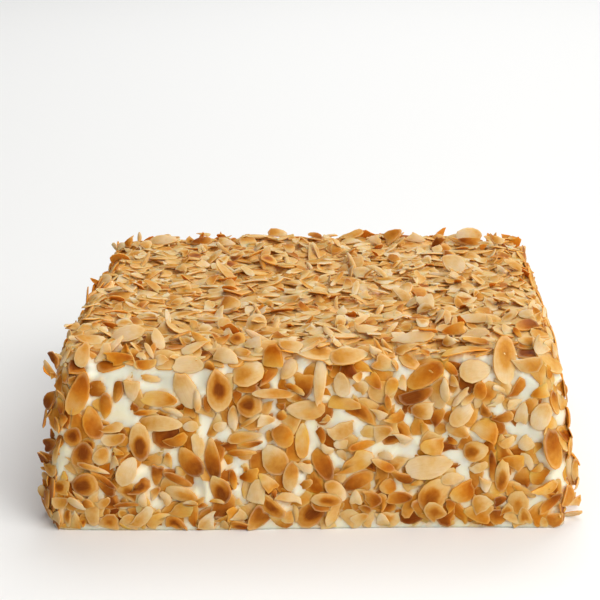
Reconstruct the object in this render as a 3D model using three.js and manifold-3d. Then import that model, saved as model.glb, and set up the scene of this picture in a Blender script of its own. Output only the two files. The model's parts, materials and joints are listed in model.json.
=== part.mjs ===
// An uncut sans rival: a square layered cake masked in buttercream and covered with toasted almond flakes.
// Millimetres, +Z up. The origin is at the middle of the flat underside, and the front faces -Y.
import * as THREE from 'three';
import { mergeVertices } from 'three/addons/utils/BufferGeometryUtils.js';
import Module from 'manifold-3d';

// The block of cake and buttercream, without its flakes.
const TIN_SIDE = 203; // an 8 inch square tin
const MASK = 3; // buttercream on each side
const TOP_SIDE = TIN_SIDE + 2 * MASK;
const BASE_FLARE = 6; // how far each side leans out between the top edge and the base
const HEIGHT = 74.5; // base to buttercream on top, under the flakes
const EDGE_RADIUS = 7; // rounding of the upright corners and the top edge
const WAVE = { rise: 1.2, length: 230 }; // slow rise and fall of the hand-spread buttercream
const GRID = { across: 5, up: 3 }; // squares along each side and up the height, the outermost on the rounding

// One almond flake: a thin slice of a blanched almond, round at one end and pointed at the other.
const FLAKE = { length: 18, width: 10.5, thickness: 1.3, sides: 6, taper: 0.28 };
const SIZE_SPREAD = 0.16; // flakes run this share longer or shorter
const CUP = 0.8; // how far the ends of a flake curl up or down
const SUNK = 1.2; // how deep the lowest corner of a flake is pushed into the buttercream

// How many flakes lie on each face, and how steeply, in degrees.
const TOP_FLAKES = { count: 102, lean: [2, 17] };
const SIDE_FLAKES = { count: 31, lean: [2, 17] };
const RIM_FLAKES = { count: 9, lean: [4, 20], height: HEIGHT }; // the row over the top edge of each side
const FOOT_FLAKES = { count: 8, lean: [16, 32], height: 9 }; // the fringe that leans out around the base
const ROW_STRAY = { place: 0.3, turn: 45 }; // most a flake in a row strays, in shares of the row and degrees
const SEED = 11;
const SLIVER = 0.05; // edges shorter than this, left by the fusing, are closed up

const FLAKE_COLOUR = 0xcc9a5c;

const rad = THREE.MathUtils.degToRad;
const wasm = await Module();
wasm.setup();

// Repeatable random numbers from 0 to 1.
const multiplier = 48271;
const modulus = 2 ** 31 - 1;
let state = SEED;
function random() {
  state = (state * multiplier) % modulus;
  return state / modulus;
}
const between = (low, high) => low + (high - low) * random();

// The nth point of an even, patternless spread over the unit square.
function spread(n) {
  const plasticRatio = 1.32471795724;
  return [(0.5 + n / plasticRatio) % 1, (0.5 + n / plasticRatio ** 2) % 1];
}

// Where a point of the plain square block lies once its edges are rounded, its sides lean and its coat waves.
function blockPoint(x, y, z) {
  const flat = TOP_SIDE / 2 - EDGE_RADIUS;
  const inner = new THREE.Vector3(
    THREE.MathUtils.clamp(x, -flat, flat),
    THREE.MathUtils.clamp(y, -flat, flat),
    Math.min(z, HEIGHT - EDGE_RADIUS),
  );
  const out = new THREE.Vector3(x, y, z).sub(inner).normalize();
  const point = inner.addScaledVector(out, EDGE_RADIUS);
  const lean = 1 + (2 * BASE_FLARE / TOP_SIDE) * (1 - point.z / HEIGHT);
  const phase = (2 * Math.PI) / WAVE.length;
  const wave = WAVE.rise * Math.sin(phase * (x + z)) * Math.cos(phase * (y - z));
  point.x *= lean;
  point.y *= lean;
  return point.addScaledVector(out, wave);
}

// The five coated faces as patches of the plain block: u and v run from 0 to 1 across each.
const half = TOP_SIDE / 2;
const along = (share) => (2 * share - 1) * half;
const top = (u, v) => blockPoint(along(u), along(v), HEIGHT);
const sides = [
  (u, v) => blockPoint(along(u), -half, v * HEIGHT),
  (u, v) => blockPoint(half, along(u), v * HEIGHT),
  (u, v) => blockPoint(-along(u), half, v * HEIGHT),
  (u, v) => blockPoint(-half, -along(u), v * HEIGHT),
];

// A closed solid from a geometry whose faces meet only at shared corners.
function solidOf(geometry) {
  const weld = 1e-4;
  geometry.deleteAttribute('normal');
  geometry.deleteAttribute('uv');
  const merged = mergeVertices(geometry, weld);
  return new wasm.Manifold(
    new wasm.Mesh({
      numProp: 3,
      vertProperties: new Float32Array(merged.attributes.position.array),
      triVerts: new Uint32Array(merged.index.array),
    }),
  );
}

// The nth of count + 1 lines across a span, with the last one standing off by the edge rounding.
function gridLine(n, count, span) {
  return n === count ? span : (n / (count - 1)) * (span - EDGE_RADIUS);
}

// The block: a box of squares, each corner moved to its place. It starts below the base, to be cut flat.
function block() {
  const spare = 4;
  const { across, up } = GRID;
  const box = new THREE.BoxGeometry(across, across, up, across, across, up);
  const corners = box.attributes.position;
  const fromMiddle = (n) => Math.sign(n) * gridLine(Math.abs(n), across / 2, half);
  for (let i = 0; i < corners.count; i++) {
    const height = gridLine(corners.getZ(i) + up / 2, up, HEIGHT + spare) - spare;
    const point = blockPoint(fromMiddle(corners.getX(i)), fromMiddle(corners.getY(i)), height);
    corners.setXYZ(i, point.x, point.y, point.z);
  }
  return solidOf(box);
}

// One flake, flat on the XY plane with its point towards +X, its ends curled by cup.
function flake(size, cup) {
  const { length, width, thickness, sides: count, taper } = FLAKE;
  const rim = Array.from({ length: count }, (_, i) => {
    const turn = (2 * Math.PI * i) / count;
    const across = Math.sin(turn) * (1 - taper * Math.cos(turn));
    return new THREE.Vector2((Math.cos(turn) * length) / 2, (across * width) / 2).multiplyScalar(size);
  });
  const slice = new THREE.ExtrudeGeometry(new THREE.Shape(rim), { depth: thickness, bevelEnabled: false });
  const corners = slice.attributes.position;
  for (let i = 0; i < corners.count; i++) {
    const reach = (2 * corners.getX(i)) / (length * size);
    corners.setZ(i, corners.getZ(i) + cup * reach * reach);
  }
  return slice;
}

// A flake on a patch at (u, v): its far end lifted by lean, turned by spin, and its lowest corner sunk in.
function laidFlake(patch, u, v, spin, lean) {
  const step = 0.01;
  const point = patch(u, v);
  const acrossFace = patch(u + step, v).sub(point).normalize();
  const upFace = patch(u, v + step).sub(point).normalize();
  const normal = new THREE.Vector3().crossVectors(acrossFace, upFace).normalize();
  const slice = flake(1 + SIZE_SPREAD * between(-1, 1), CUP * between(-1, 1));
  slice.rotateY(-lean).rotateZ(spin).computeBoundingBox();
  slice.translate(0, 0, -slice.boundingBox.min.z - SUNK);
  const place = new THREE.Matrix4()
    .makeBasis(acrossFace, new THREE.Vector3().crossVectors(normal, acrossFace), normal)
    .setPosition(point);
  return solidOf(slice.applyMatrix4(place));
}

// An even scatter over a whole patch, each flake turned any way.
function scatter(patch, { count, lean }) {
  return Array.from({ length: count }, (_, i) => {
    const [u, v] = spread(i + 1);
    return laidFlake(patch, u, v, between(0, 2 * Math.PI), rad(between(...lean)));
  });
}

// A row of flakes along a side at one height, their lifted ends pointing more or less down.
function row(side, { count, lean, height }) {
  return Array.from({ length: count }, (_, i) => {
    const u = (i + 0.5 + ROW_STRAY.place * between(-1, 1)) / count;
    const spin = rad(-90 + ROW_STRAY.turn * between(-1, 1));
    return laidFlake(side, u, height / HEIGHT, spin, rad(between(...lean)));
  });
}

// Everything below the base is cut away, so that the cake stands flat.
function standFlat(solid) {
  const depth = 40;
  const floor = new THREE.BoxGeometry(2 * TOP_SIDE, 2 * TOP_SIDE, depth).translate(0, 0, -depth / 2);
  return solid.subtract(solidOf(floor));
}

// The outer skin alone: pockets sealed between leaning flakes are filled, and loose chips are dropped.
function outerSkin(solid) {
  return solid.decompose().reduce((best, body) => (body.volume() > best.volume() ? body : best));
}

const flakes = [
  ...scatter(top, TOP_FLAKES),
  ...sides.flatMap((side) => scatter(side, SIDE_FLAKES)),
  ...sides.flatMap((side) => row(side, RIM_FLAKES)),
  ...sides.flatMap((side) => row(side, FOOT_FLAKES)),
];
const coated = outerSkin(standFlat(wasm.Manifold.union([block(), ...flakes])).simplify(SLIVER));

// The finished solid as a mesh, centred over its own underside.
const { vertProperties, triVerts } = coated.getMesh();
const geometry = new THREE.BufferGeometry()
  .setAttribute('position', new THREE.BufferAttribute(vertProperties, 3))
  .setIndex(new THREE.BufferAttribute(triVerts, 1));
geometry.computeVertexNormals();
geometry.computeBoundingBox();
const middle = geometry.boundingBox.getCenter(new THREE.Vector3());

const toasted = new THREE.MeshStandardMaterial({ color: FLAKE_COLOUR, roughness: 0.65, metalness: 0 });
const cake = new THREE.Mesh(geometry, toasted);
cake.name = 'almond_coated_cake';
cake.position.set(-middle.x, -middle.y, 0);

const sansRival = new THREE.Group();
sansRival.add(cake);
export default sansRival;
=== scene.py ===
# An uncut square sans rival: ivory buttercream under a full coat of toasted flaked almonds.
import json
import math
from functools import partial

import bpy
import numpy as np
from mathutils import Matrix, Vector, noise
from mathutils.bvhtree import BVHTree

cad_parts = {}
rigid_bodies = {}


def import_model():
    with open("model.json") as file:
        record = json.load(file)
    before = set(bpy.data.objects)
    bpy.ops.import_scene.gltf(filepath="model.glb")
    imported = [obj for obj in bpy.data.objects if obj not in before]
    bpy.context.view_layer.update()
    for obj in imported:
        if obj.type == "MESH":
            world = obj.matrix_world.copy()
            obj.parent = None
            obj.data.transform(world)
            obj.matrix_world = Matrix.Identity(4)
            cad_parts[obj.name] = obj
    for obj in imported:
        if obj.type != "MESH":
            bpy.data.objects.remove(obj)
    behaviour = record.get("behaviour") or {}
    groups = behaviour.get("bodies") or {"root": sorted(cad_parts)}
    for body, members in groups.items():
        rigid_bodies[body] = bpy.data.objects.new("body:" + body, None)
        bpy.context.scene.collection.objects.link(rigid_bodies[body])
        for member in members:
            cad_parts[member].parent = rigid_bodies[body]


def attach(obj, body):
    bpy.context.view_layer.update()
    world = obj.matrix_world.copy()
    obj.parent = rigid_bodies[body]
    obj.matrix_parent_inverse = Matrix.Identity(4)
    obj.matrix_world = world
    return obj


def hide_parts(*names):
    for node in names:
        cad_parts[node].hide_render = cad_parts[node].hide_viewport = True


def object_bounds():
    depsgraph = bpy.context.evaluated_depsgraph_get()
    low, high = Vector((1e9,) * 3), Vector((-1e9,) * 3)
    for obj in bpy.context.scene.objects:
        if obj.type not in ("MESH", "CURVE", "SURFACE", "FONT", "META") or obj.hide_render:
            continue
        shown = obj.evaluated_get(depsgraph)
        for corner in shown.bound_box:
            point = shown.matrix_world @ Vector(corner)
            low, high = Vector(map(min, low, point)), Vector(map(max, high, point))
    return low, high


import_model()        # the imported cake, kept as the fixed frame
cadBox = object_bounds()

mm = 0.001
cakeNode = "almond_coated_cake"
rng = np.random.default_rng(2157)
scene = bpy.context.scene


# the camera, where the picture was taken from

shot = dict(
    place=(30 * mm, -844 * mm, 307 * mm),
    pitch=15.6,          # degrees down
    yaw=2.45,            # degrees to the left
    roll=1.1,            # degrees clockwise
    lensPixels=1840,     # focal length in pixels of the frame
    framePixels=600,
    sensor=36.0,
    farthest=20,
)


def cameraAxes():
    pitch, yaw, roll = (math.radians(shot[k]) for k in ("pitch", "yaw", "roll"))
    level = math.cos(pitch)
    ahead = Vector((-math.sin(yaw) * level, math.cos(yaw) * level, -math.sin(pitch)))
    right = ahead.cross(Vector((0, 0, 1))).normalized()
    right = Matrix.Rotation(roll, 3, ahead) @ right
    return right, right.cross(ahead), ahead


def pixelRay(x, y):
    right, up, ahead = cameraAxes()
    half = shot["framePixels"] / 2
    return (ahead * shot["lensPixels"] + right * (x - half) + up * (half - y)).normalized()


def makeCamera():
    right, up, ahead = cameraAxes()
    lens = bpy.data.cameras.new("camera")
    lens.sensor_width = shot["sensor"]
    lens.lens = shot["sensor"] * shot["lensPixels"] / shot["framePixels"]
    lens.clip_end = shot["farthest"]
    camera = bpy.data.objects.new("camera", lens)
    turn = Matrix((right, up, -ahead)).transposed()
    camera.matrix_world = Matrix.Translation(shot["place"]) @ turn.to_4x4()
    scene.collection.objects.link(camera)
    scene.camera = camera


makeCamera()
print("camera set")


# node helpers

def addNode(tree, kind, values=None, **settings):
    node = tree.nodes.new(kind)
    for name, value in settings.items():
        setattr(node, name, value)
    for name, value in (values or {}).items():
        node.inputs[name].default_value = value
    return node


def newMaterial(name):
    material = bpy.data.materials.new(name)
    material.use_nodes = True
    tree = material.node_tree
    return material, tree, tree.nodes["Principled BSDF"]


def readAttribute(tree, name, output="Fac"):
    return addNode(tree, "ShaderNodeAttribute", attribute_name=name).outputs[output]


def calc(tree, operation, a, b=None, c=None, clamp=False):
    node = addNode(tree, "ShaderNodeMath", operation=operation, use_clamp=clamp)
    for socket, value in zip(node.inputs, (a, b, c)):
        if value is None:
            continue
        if isinstance(value, (int, float)):
            socket.default_value = value
        else:
            tree.links.new(value, socket)
    return node.outputs[0]


def addShare(tree, base, share, value):
    return calc(tree, "MULTIPLY_ADD", value, share, base)


def smoothRange(tree, value, start, end):
    node = addNode(tree, "ShaderNodeMapRange", interpolation_type="SMOOTHSTEP")
    tree.links.new(value, node.inputs["Value"])
    node.inputs["From Min"].default_value = start
    node.inputs["From Max"].default_value = end
    return node.outputs["Result"]


def noiseField(tree, where, scale, detail, roughness=0.5):
    node = addNode(tree, "ShaderNodeTexNoise", {"Scale": scale, "Detail": detail, "Roughness": roughness})
    tree.links.new(where, node.inputs["Vector"])
    return node.outputs["Fac"]


def unevenness(tree, where, field):
    # noise about zero
    return calc(tree, "SUBTRACT", noiseField(tree, where, field["scale"], field["detail"]), 0.5)


def blendColour(tree, share, a, b, how="MIX"):
    node = addNode(tree, "ShaderNodeMix", data_type="RGBA", blend_type=how)
    sockets = {s.identifier: s for s in node.inputs}
    for name, value in (("Factor_Float", share), ("A_Color", a), ("B_Color", b)):
        if isinstance(value, bpy.types.NodeSocket):
            tree.links.new(value, sockets[name])
        else:
            sockets[name].default_value = value
    return next(s for s in node.outputs if s.identifier == "Result_Color")


def rampColours(tree, value, stops):
    node = addNode(tree, "ShaderNodeValToRGB")
    bar = node.color_ramp.elements
    while len(bar) < len(stops):
        bar.new(1.0)
    for element, (place, colour) in zip(bar, stops):
        element.position = place
        element.color = (*colour, 1)
    tree.links.new(value, node.inputs["Fac"])
    return node.outputs["Color"]


def giveBody(tree, shader, finish, relief):
    # fine relief, gloss, and light that sinks in
    bump = addNode(tree, "ShaderNodeBump", finish["bump"])
    tree.links.new(relief, bump.inputs["Height"])
    tree.links.new(bump.outputs["Normal"], shader.inputs["Normal"])
    shader.inputs["Specular IOR Level"].default_value = finish["specular"]
    shader.inputs["Subsurface Weight"].default_value = finish["subsurface"]
    shader.inputs["Subsurface Radius"].default_value = finish["subsurfaceRadius"]
    shader.inputs["Subsurface Scale"].default_value = finish["subsurfaceReach"]


# finishes

almondFinish = dict(
    toastColours=(                        # from barely warmed to well browned
        (0.00, (0.665, 0.528, 0.345)),
        (0.25, (0.62, 0.418, 0.180)),
        (0.50, (0.54, 0.26, 0.044)),
        (0.75, (0.37, 0.12, 0.009)),
        (1.00, (0.19, 0.045, 0.003)),
    ),
    slant=0.42,                           # how much browner one end is
    blotch=dict(scale=160, detail=1.5, depth=0.45),
    fleck=dict(scale=520, detail=3, depth=0.28),
    heart=dict(extent=(0.18, 0.72), blotch=0.9, slant=-0.3),
    fibre=dict(stretch=(1.6, 17, 1), detail=2, extent=(0.5, 0.75), share=0.2, relief=0.8),
    fibreColour=(0.48, 0.21, 0.035, 1),
    rim=dict(extent=(0.74, 1.0), share=0.6, toastFade=-0.6),
    rimColour=(0.70, 0.54, 0.315, 1),     # the cut edge stays paler
    # where the cut edge turns to painted warm shade, from the rim down to the underside
    edge=(1.0, 1.35),
    edgeShadeColour=(0.69, 0.31, 0.045, 1),    # painted warm shade: the lower cut edge, down in the gaps between its neighbours, turns amber
    butter=dict(scale=110, detail=1.5, extent=(0.36, 0.62), least=0.3, rest=0.7, gloss=-0.16),
    butterTint=(0.98, 0.72, 0.22, 1),     # glassy and golden where butter has soaked in
    grain=dict(scale=2400, detail=3, roughness=0.6, depth=0.25),
    roughness=0.43,
    bump={"Strength": 0.4, "Distance": 0.16 * mm},
    specular=0.06,
    subsurface=0.6,
    subsurfaceRadius=(1.0, 0.62, 0.3),
    subsurfaceReach=1.6 * mm,
)


def makeAlmondFinish():
    f = almondFinish
    material, tree, shader = newMaterial("toasted_almond")
    where = addNode(tree, "ShaderNodeTexCoord").outputs["Object"]
    spot = readAttribute(tree, "flakeSpot", "Vector")
    split = addNode(tree, "ShaderNodeSeparateXYZ")
    tree.links.new(spot, split.inputs[0])
    along, rimward = split.outputs["X"], split.outputs["Z"]
    fields = ("toast", "toastLean", "heart", "moist")
    toast, lean, heart, moist = (readAttribute(tree, name) for name in fields)

    # browning: towards one end, in soft blotches, and darkest in the heart of some flakes
    blotch = unevenness(tree, where, f["blotch"])
    fleck = unevenness(tree, where, f["fleck"])
    slant = calc(tree, "MULTIPLY", along, lean)
    brown = addShare(tree, toast, f["slant"], slant)
    brown = addShare(tree, brown, f["blotch"]["depth"], blotch)
    brown = addShare(tree, brown, f["fleck"]["depth"], fleck)
    reach = addShare(tree, rimward, f["heart"]["slant"], slant)
    reach = addShare(tree, reach, f["heart"]["blotch"], blotch)
    core = calc(tree, "SUBTRACT", 1.0, smoothRange(tree, reach, *f["heart"]["extent"]))
    brown = calc(tree, "MULTIPLY_ADD", core, heart, brown, clamp=True)
    colour = rampColours(tree, brown, f["toastColours"])

    # fibres run from end to end of the nut
    stretch = addNode(tree, "ShaderNodeMapping", {"Scale": f["fibre"]["stretch"]})
    tree.links.new(spot, stretch.inputs["Vector"])
    fibre = noiseField(tree, stretch.outputs["Vector"], 1.0, f["fibre"]["detail"])
    streak = calc(tree, "MULTIPLY", smoothRange(tree, fibre, *f["fibre"]["extent"]), f["fibre"]["share"])
    colour = blendColour(tree, streak, colour, f["fibreColour"])

    # the rim, painted warm shade on the edge below it, and butter
    rim = calc(tree, "MULTIPLY", smoothRange(tree, rimward, *f["rim"]["extent"]), f["rim"]["share"])
    rim = calc(tree, "MULTIPLY", rim, calc(tree, "MULTIPLY_ADD", toast, f["rim"]["toastFade"], 1.0))
    colour = blendColour(tree, rim, colour, f["rimColour"])
    # painted warm shade: the cut edge turns amber from the rim down to the underside
    colour = blendColour(tree, smoothRange(tree, rimward, *f["edge"]), colour, f["edgeShadeColour"])
    b = f["butter"]
    soaked = smoothRange(tree, noiseField(tree, where, b["scale"], b["detail"]), *b["extent"])
    soaked = calc(tree, "MULTIPLY", calc(tree, "MULTIPLY_ADD", soaked, b["rest"], b["least"]), moist)
    colour = blendColour(tree, soaked, colour, f["butterTint"], "MULTIPLY")
    tree.links.new(colour, shader.inputs["Base Color"])

    g = f["grain"]
    grain = noiseField(tree, where, g["scale"], g["detail"], g["roughness"])
    rough = calc(tree, "MULTIPLY_ADD", grain, g["depth"], f["roughness"])
    tree.links.new(addShare(tree, rough, b["gloss"], soaked), shader.inputs["Roughness"])
    giveBody(tree, shader, f, addShare(tree, grain, f["fibre"]["relief"], fibre))
    return material


creamFinish = dict(
    colour=(0.70, 0.675, 0.55, 1),
    richColour=(0.73, 0.64, 0.41, 1),     # thicker, butterier patches
    stainAndShadeColour=(0.77, 0.41, 0.085, 1),   # partly the nuts' butter stain, partly painted warm shade: on top and close round the flakes
    patch=dict(scale=55, detail=3, extent=(0.4, 0.7), share=0.7),
    grain=dict(scale=900, detail=4, roughness=0.6, depth=0.2),
    roughness=0.32,
    bump={"Strength": 0.3, "Distance": 0.25 * mm},
    specular=0.45,
    subsurface=0.6,
    subsurfaceRadius=(1.0, 0.7, 0.35),
    subsurfaceReach=4.5 * mm,
)


def makeCreamFinish():
    f = creamFinish
    material, tree, shader = newMaterial("buttercream")
    where = addNode(tree, "ShaderNodeTexCoord").outputs["Object"]
    p, g = f["patch"], f["grain"]
    rich = smoothRange(tree, noiseField(tree, where, p["scale"], p["detail"]), *p["extent"])
    colour = blendColour(tree, calc(tree, "MULTIPLY", rich, p["share"]), f["colour"], f["richColour"])
    # nut stain and painted warm shade where the flakes shade the cream
    colour = blendColour(tree, readAttribute(tree, "stainAndShade"), colour, f["stainAndShadeColour"])
    tree.links.new(colour, shader.inputs["Base Color"])
    fine = noiseField(tree, where, g["scale"], g["detail"], g["roughness"])
    rough = calc(tree, "MULTIPLY_ADD", fine, g["depth"], f["roughness"])
    tree.links.new(rough, shader.inputs["Roughness"])
    giveBody(tree, shader, f, fine)
    return material


almond = makeAlmondFinish()
buttercream = makeCreamFinish()
print("finishes made")


# the buttercream block: the same rounded, leaning block as the solid, with spread marks

creamBlock = dict(
    topSide=209 * mm,
    flare=6 * mm,                   # lean of each side from the top edge to the base
    height=74.5 * mm,
    edgeRadius=7 * mm,
    waveRise=1.2 * mm,              # slow rise and fall of the coat
    waveLength=230 * mm,
    gridStep=1.1 * mm,
    weld=0.01 * mm,
    footing=3 * mm,                 # marks fade out this close to the table
    swell=(1.0 * mm, 42 * mm),      # rise and length of the broad unevenness
    smear=(0.55 * mm, 13 * mm),     # and of the palette knife's marks
    smearStretch=1.8,               # they run across
    fineSmear=(0.35, 2.7),          # share and number of the finer marks among them
)
creamRidge = dict(                  # upright on the front, where the knife was lifted off
    x=-44 * mm,
    rise=1.7 * mm,
    halfWidth=1.7 * mm,
    low=6 * mm,
    high=64 * mm,
    fade=4 * mm,
    wander=(1.5 * mm, 9 * mm),
    facing=-0.9,
)


def blockSurface(plain):
    # plain: points on a square block; gives where they lie on the rounded one, and the way out there
    b = creamBlock
    flat = b["topSide"] / 2 - b["edgeRadius"]
    inner = np.column_stack([
        np.clip(plain[:, 0], -flat, flat),
        np.clip(plain[:, 1], -flat, flat),
        np.minimum(plain[:, 2], b["height"] - b["edgeRadius"]),
    ])
    out = plain - inner
    out /= np.maximum(np.linalg.norm(out, axis=1, keepdims=True), 1e-9)
    place = inner + out * b["edgeRadius"]
    lean = 1 + 2 * b["flare"] / b["topSide"] * (1 - place[:, 2] / b["height"])
    place[:, :2] *= lean[:, None]
    phase = 2 * math.pi / b["waveLength"]
    wave = np.sin(phase * (plain[:, 0] + plain[:, 2])) * np.cos(phase * (plain[:, 1] - plain[:, 2]))
    return place + out * (b["waveRise"] * wave)[:, None], out


def spreadMarks(place, out):
    # how far the knife left the cream standing out at each point
    b, r = creamBlock, creamRidge
    swellRise, swellLength = b["swell"]
    smearRise, smearLength = b["smear"]
    fineShare, finer = b["fineSmear"]
    marks = np.empty(len(place))
    for i, (x, y, z) in enumerate(place.tolist()):
        streak = Vector((x, y, z * b["smearStretch"])) / smearLength
        marks[i] = swellRise * noise.noise(Vector((x, y, z)) / swellLength) + smearRise * noise.noise(streak)
        marks[i] += fineShare * smearRise * noise.noise(streak * finer)
    height = place[:, 2]
    wander, wanderLength = r["wander"]
    drift = r["x"] + wander * np.sin(height / wanderLength)
    across = np.exp(-((place[:, 0] - drift) / r["halfWidth"]) ** 2)
    upright = np.clip((height - r["low"]) / r["fade"], 0, 1) * np.clip((r["high"] - height) / r["fade"], 0, 1)
    marks += r["rise"] * across * upright * (out[:, 1] < r["facing"])
    return marks


def makeCream():
    b = creamBlock
    half = b["topSide"] / 2
    across = np.linspace(-half, half, round(b["topSide"] / b["gridStep"]) + 1)
    up = np.linspace(0, b["height"], round(b["height"] / b["gridStep"]) + 1)
    u, v = np.meshgrid(across, across, indexing="ij")
    panels = [np.stack([u, v, np.full_like(u, b["height"])], -1)]
    u, v = np.meshgrid(across, up, indexing="ij")
    wall = np.full_like(u, half)
    panels += [np.stack(side, -1) for side in ((u, -wall, v), (wall, u, v), (-u, wall, v), (-wall, -u, v))]
    plain = np.concatenate([p.reshape(-1, 3) for p in panels])
    quads, start = [], 0
    for panel in panels:
        rows, columns = panel.shape[:2]
        index = start + np.arange(rows * columns).reshape(rows, columns)
        corners = index[:-1, :-1], index[1:, :-1], index[1:, 1:], index[:-1, 1:]
        quads.append(np.stack(corners, -1).reshape(-1, 4))
        start += rows * columns
    quads = np.concatenate(quads)
    rounded = np.round(plain / b["weld"]).astype(int)
    first, same = np.unique(rounded, axis=0, return_index=True, return_inverse=True)[1:]
    plain, quads = plain[first], same.reshape(-1)[quads]
    place, out = blockSurface(plain)
    marks = spreadMarks(place, out)
    place = place + out * (marks * np.clip(place[:, 2] / b["footing"], 0, 1))[:, None]
    place[:, 2] = np.maximum(place[:, 2], 0)
    return place, out, quads


creamPlace, creamOut, creamQuads = makeCream()
print("cream spread:", len(creamPlace), "points")


# shapes of the cut almonds, in metres, lying flat with the pointed end towards +X

wholeCut = dict(count=14, sides=14, length=(15 * mm, 19 * mm), breadth=(0.49, 0.66),
                thickness=(0.75 * mm, 1.05 * mm), bend=1.0)
roundCut = dict(count=3, sides=12, length=(10 * mm, 12 * mm), breadth=(0.82, 0.95),
                thickness=(0.8 * mm, 1.1 * mm), bend=0.4)
brokenCut = dict(count=18, sides=12, length=(14 * mm, 19 * mm), breadth=(0.50, 0.66),
                 thickness=(0.7 * mm, 1.0 * mm), bend=0.7)
sliverCut = dict(count=6, sides=10, length=(9 * mm, 17 * mm), breadth=(0.16, 0.28),
                 thickness=(0.7 * mm, 1.1 * mm), bend=0.9)
warp = dict(along=1.3 * mm, across=0.6 * mm, twist=0.7 * mm)      # most that a whole flake bends
nutOutline = dict(
    blunt=(0.42, 0.5),          # how round one end is
    point=(0.46, 0.68),         # and how sharp the other
    skew=0.08,                  # the two flanks differ by up to this
    wave=0.025,
    waveStart=(0, 6.28),
    rough=0.02,
    chipChance=0.6,
    chip=(0.84, 0.94),
)
snap = dict(
    acrossChance=0.7,           # the rest split lengthwise
    acrossStray=0.45,
    lengthwiseStray=0.25,
    kept=(-0.15, 0.55),         # where the break runs, from the middle to the end
    rag=(-0.06, 0.03),
    ragAt=(0.22, 0.5, 0.8),
)
profile = dict(                 # rings of a flake: size, height in thicknesses, 0 to 1 from heart to rim
    rim=(0.97, 0.55, 1.0),
    face=(0.72, 1.0, 0.72),
    heart=(0.0, 1.05, 0.0),
    foot=(1.0, 0.0, 1.5),       # 1.5 marks the underside
    under=(0.0, 0.0, 1.5),
)
feelRings = dict(rim=0.96, inner=0.5, within=(0.75, 0.5, 0.25))     # where a flake feels what is under it
sound = dict(spread=1e-3, slack=-1e-6)      # tests for three feelers that can hold it up


def almondOutline(length, breadth, sides):
    # round at one end and pointed at the other, the two flanks never quite alike
    n = nutOutline
    turn = 2 * math.pi * (np.arange(sides) + 0.5) / sides
    u = np.cos(turn)
    blunt, point = rng.uniform(*n["blunt"]), rng.uniform(*n["point"])
    girth = (1 + u) ** blunt * (1 - u) ** point if rng.random() < 0.5 else (1 - u) ** blunt * (1 + u) ** point
    girth /= girth.max()
    flank = np.where(np.sin(turn) > 0, 1, -1) * (1 + n["skew"] * rng.uniform(-1, 1) * np.sin(turn))
    wave = n["wave"] * np.sin(3 * turn + rng.uniform(*n["waveStart"]))
    wobble = 1 + wave + rng.normal(0, n["rough"], sides)
    if rng.random() < n["chipChance"]:
        wobble[rng.integers(sides)] *= rng.uniform(*n["chip"])
    return np.column_stack([u * length / 2, flank * girth * length * breadth / 2]) * wobble[:, None]


def breakOff(outline, length):
    # what is left of a snapped flake, the break slightly ragged
    if rng.random() < snap["acrossChance"]:
        way = rng.normal(0, snap["acrossStray"])
    else:
        way = math.pi / 2 + rng.normal(0, snap["lengthwiseStray"])
    way += math.pi * int(rng.integers(2))
    cut = np.array([math.cos(way), math.sin(way)])
    extent = (outline @ cut).max()
    side = outline @ cut - rng.uniform(*snap["kept"]) * extent
    ahead = np.roll(outline, -1, axis=0), np.roll(side, -1)
    kept, ends = [], []
    for spot, gap, nextSpot, nextGap in zip(outline, side, *ahead):
        if gap <= 0:
            kept.append(spot)
        if (gap <= 0) != (nextGap <= 0):
            ends.append(len(kept))
            kept.append(spot + gap / (gap - nextGap) * (nextSpot - spot))
    leaving = ends[0] if ends[1] == ends[0] + 1 else ends[1]     # the break runs on from this corner
    a, b = kept[leaving], kept[(leaving + 1) % len(kept)]
    rag = [a + share * (b - a) + cut * rng.uniform(*snap["rag"]) * length for share in snap["ragAt"]]
    return np.array(kept[:leaving + 1] + rag + kept[leaving + 1:])


def areaMiddle(outline):
    x, y = outline.T
    nx, ny = np.roll(x, -1), np.roll(y, -1)
    cross = x * ny - nx * y
    return np.array([((x + nx) * cross).sum(), ((y + ny) * cross).sum()]) / (3 * cross.sum())


def flakeMesh(name, points, spots, n):
    # rim, face, heart, foot and under, as profile lists them; n is the number of corners round each ring
    foot, under = 2 * n + 1, 3 * n + 1
    faces = []
    for i in range(n):
        j = (i + 1) % n
        faces.append((i, j, n + j, n + i))               # top, out to the rim
        faces.append((n + i, n + j, 2 * n))              # top, the heart
        faces.append((foot + i, foot + j, j, i))         # the cut edge
        faces.append((foot + j, foot + i, under))        # the underside
    mesh = bpy.data.meshes.new(name)
    mesh.from_pydata(points.tolist(), [], faces)
    mesh.attributes.new("flakeSpot", "FLOAT_VECTOR", "POINT").data.foreach_set("vector", spots.ravel())
    mesh.shade_smooth()
    sharp = {frozenset((first + i, first + (i + 1) % n)) for first in (0, foot) for i in range(n)}
    marks = mesh.attributes.new("sharp_edge", "BOOLEAN", "EDGE")
    marks.data.foreach_set("value", [frozenset(edge.vertices) in sharp for edge in mesh.edges])
    return mesh, np.array([(f[0], f[k], f[k + 1]) for f in faces for k in range(1, len(f) - 1)])


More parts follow.
